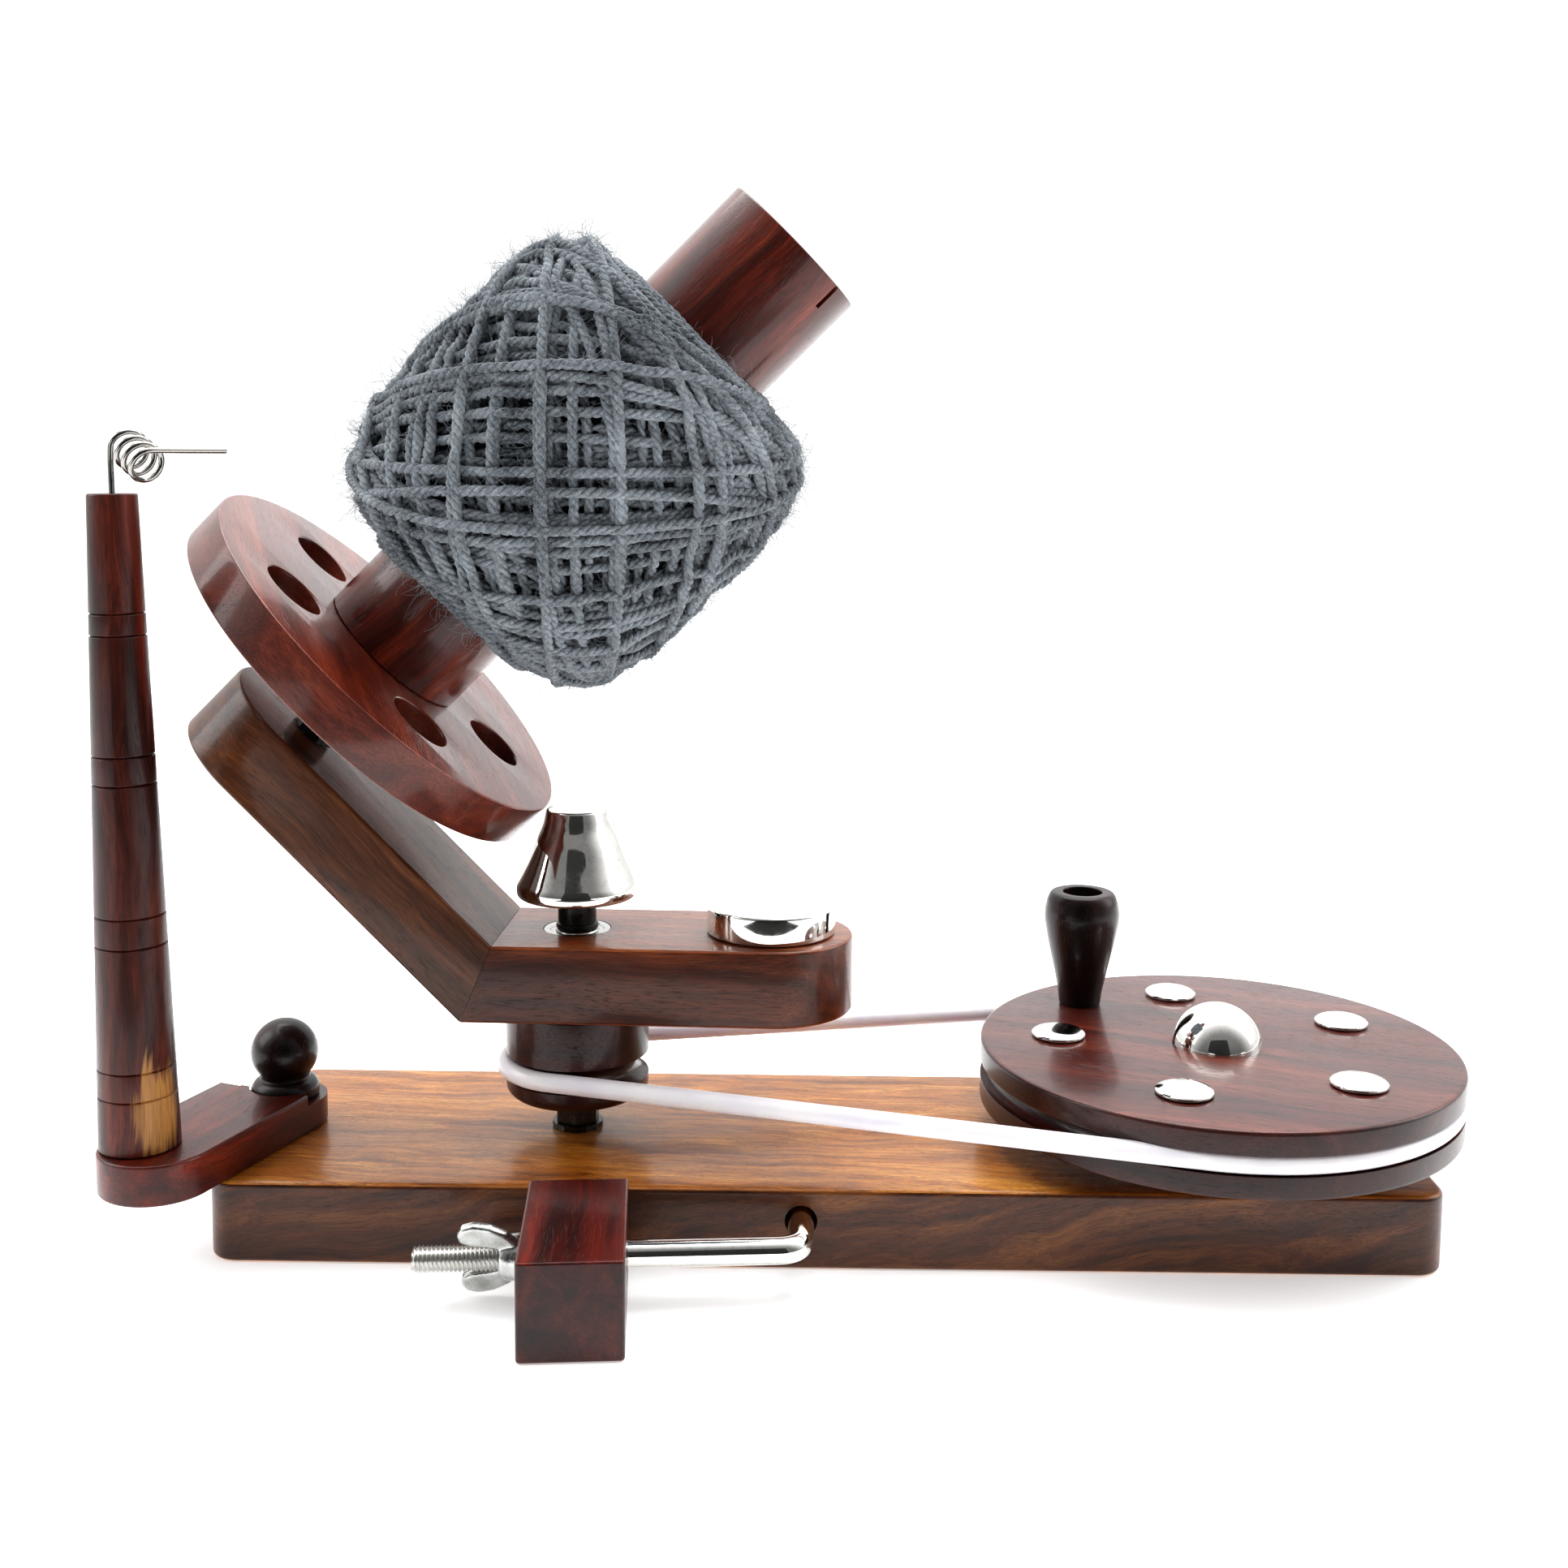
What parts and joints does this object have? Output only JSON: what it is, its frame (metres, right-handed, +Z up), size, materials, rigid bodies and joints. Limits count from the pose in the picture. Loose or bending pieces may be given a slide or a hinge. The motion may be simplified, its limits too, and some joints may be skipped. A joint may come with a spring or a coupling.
{
  "type": "yarn ball winder",
  "caption": "Hand-cranked wooden ball winder: a belt-driven arm carries a leaning bobbin that rolls on a cone, with a yarn guide post and a table clamp.",
  "frame": {"origin": "centre of the base board's underside", "axes": "+X along the board towards the crank wheel, +Y away from the side with the table clamp, +Z up"},
  "size_m": [0.4284, 0.1877, 0.3311],
  "materials": {
    "base_wood": "clear gloss lacquer over figured golden brown wood",
    "arm_wood": "clear gloss lacquer over dark brown rosewood",
    "disc_wood": "clear gloss lacquer over red-brown wood",
    "rosewood": "clear gloss lacquer over dark rosewood",
    "dark_wood": "satin lacquer over nearly black wood",
    "chrome": "mirror chrome plate",
    "steel": "bright zinc-plated steel",
    "black_steel": "blackened steel",
    "belt_plastic": "milky translucent urethane cord",
    "wool": "plied wool yarn with loose fibres"
  },
  "bodies": {
    "base": {"base_board": "base_wood", "spindle_bolt": "steel", "spindle_washer": "steel", "spindle_nut": "steel", "spacer_sleeve": "black_steel", "friction_cone": "chrome", "wheel_axle": "steel", "wheel_spacer": "steel", "axle_nut": "steel", "drive_belt": "belt_plastic", "knob_stud": "steel"},
    "crank_wheel": {"drive_wheel": "rosewood", "wheel_bearing_lower": "steel", "wheel_bearing_upper": "steel", "dome_cap": "chrome", "stud_cap_1": "chrome", "stud_cap_2": "chrome", "stud_cap_3": "chrome", "stud_cap_4": "chrome", "stud_cap_5": "chrome", "handle_bolt": "steel", "handle_nut": "steel"},
    "handle": {"crank_handle": "dark_wood"},
    "winding_arm": {"drive_pulley": "rosewood", "pulley_bearing": "steel", "yoke_bar": "arm_wood", "arm_bearing": "steel", "leaning_board": "arm_wood", "mitre_dowel_front": "dark_wood", "mitre_dowel_rear": "dark_wood", "counterweight": "chrome", "counterweight_screw": "steel", "bobbin_spindle": "steel", "bobbin_jam_nut": "black_steel", "bobbin_washer": "chrome", "bobbin_bush": "black_steel", "bobbin_end_nut": "steel"},
    "bobbin": {"bobbin_disc": "disc_wood", "disc_bearing": "steel", "bobbin_tube": "rosewood", "tube_bearing": "steel", "tube_end_cap": "black_steel"},
    "cake": {"yarn_cake": "wool"},
    "yarn_guide": {"guide_foot": "rosewood", "guide_post": "rosewood", "post_screw": "steel"},
    "wire": {"wire_guide": "chrome"},
    "knob": {"guide_knob": "dark_wood"},
    "clamp": {"clamp_rod": "chrome"},
    "block": {"clamp_block": "rosewood"},
    "nut": {"wing_nut": "chrome"}
  },
  "joints": [
    {"name": "wheel_spin", "type": "hinge", "parent": "base", "child": "crank_wheel", "pos_m": [0.13, 0, 0.045], "axis": [0, 0, 1], "continuous": true},
    {"name": "handle_spin", "type": "hinge", "parent": "crank_wheel", "child": "handle", "pos_m": [0.09113, 0.04169, 0.07], "axis": [0, 0, 1], "continuous": true},
    {"name": "arm_spin", "type": "hinge", "parent": "base", "child": "winding_arm", "pos_m": [-0.082, 0, 0.08], "axis": [0, 0, 1], "continuous": true},
    {"name": "bobbin_spin", "type": "hinge", "parent": "winding_arm", "child": "bobbin", "pos_m": [-0.20378, 0.00361, 0.12183], "axis": [0.7068, -0.021, 0.7071], "continuous": true},
    {"name": "cake_slide", "type": "slide", "parent": "bobbin", "child": "cake", "axis": [0.7068, -0.021, 0.7071], "range_m": [0, 0.165]},
    {"name": "guide_swing", "type": "hinge", "parent": "base", "child": "yarn_guide", "pos_m": [-0.1795, -0.001, 0.03], "axis": [0, 0, 1], "range_deg": [-120, 0]},
    {"name": "wire_turn", "type": "hinge", "parent": "yarn_guide", "child": "wire", "pos_m": [-0.20805, -0.05397, 0.0386], "axis": [-0.0105, 0, 0.9999], "range_deg": [-60, 60]},
    {"name": "knob_turn", "type": "hinge", "parent": "base", "child": "knob", "pos_m": [-0.1795, -0.001, 0.04], "axis": [0, 0, 1], "range_deg": [0, 540]},
    {"name": "clamp_swing", "type": "hinge", "parent": "base", "child": "clamp", "pos_m": [-0.0074, -0.0508, 0.0155], "axis": [0, 1, 0], "range_deg": [-90, 90]},
    {"name": "block_slide", "type": "slide", "parent": "clamp", "child": "block", "axis": [0.9968, 0.0802, 0], "range_m": [0, 0.0105]},
    {"name": "nut_turn", "type": "hinge", "parent": "clamp", "child": "nut", "pos_m": [-0.08844, -0.07672, 0.0155], "axis": [0.9968, 0.0802, 0], "continuous": true}
  ],
  "couplings": [
    {"joint": "arm_spin", "follows": "wheel_spin", "ratio": 3.2},
    {"joint": "bobbin_spin", "follows": "wheel_spin", "ratio": 0.4462}
  ]
}
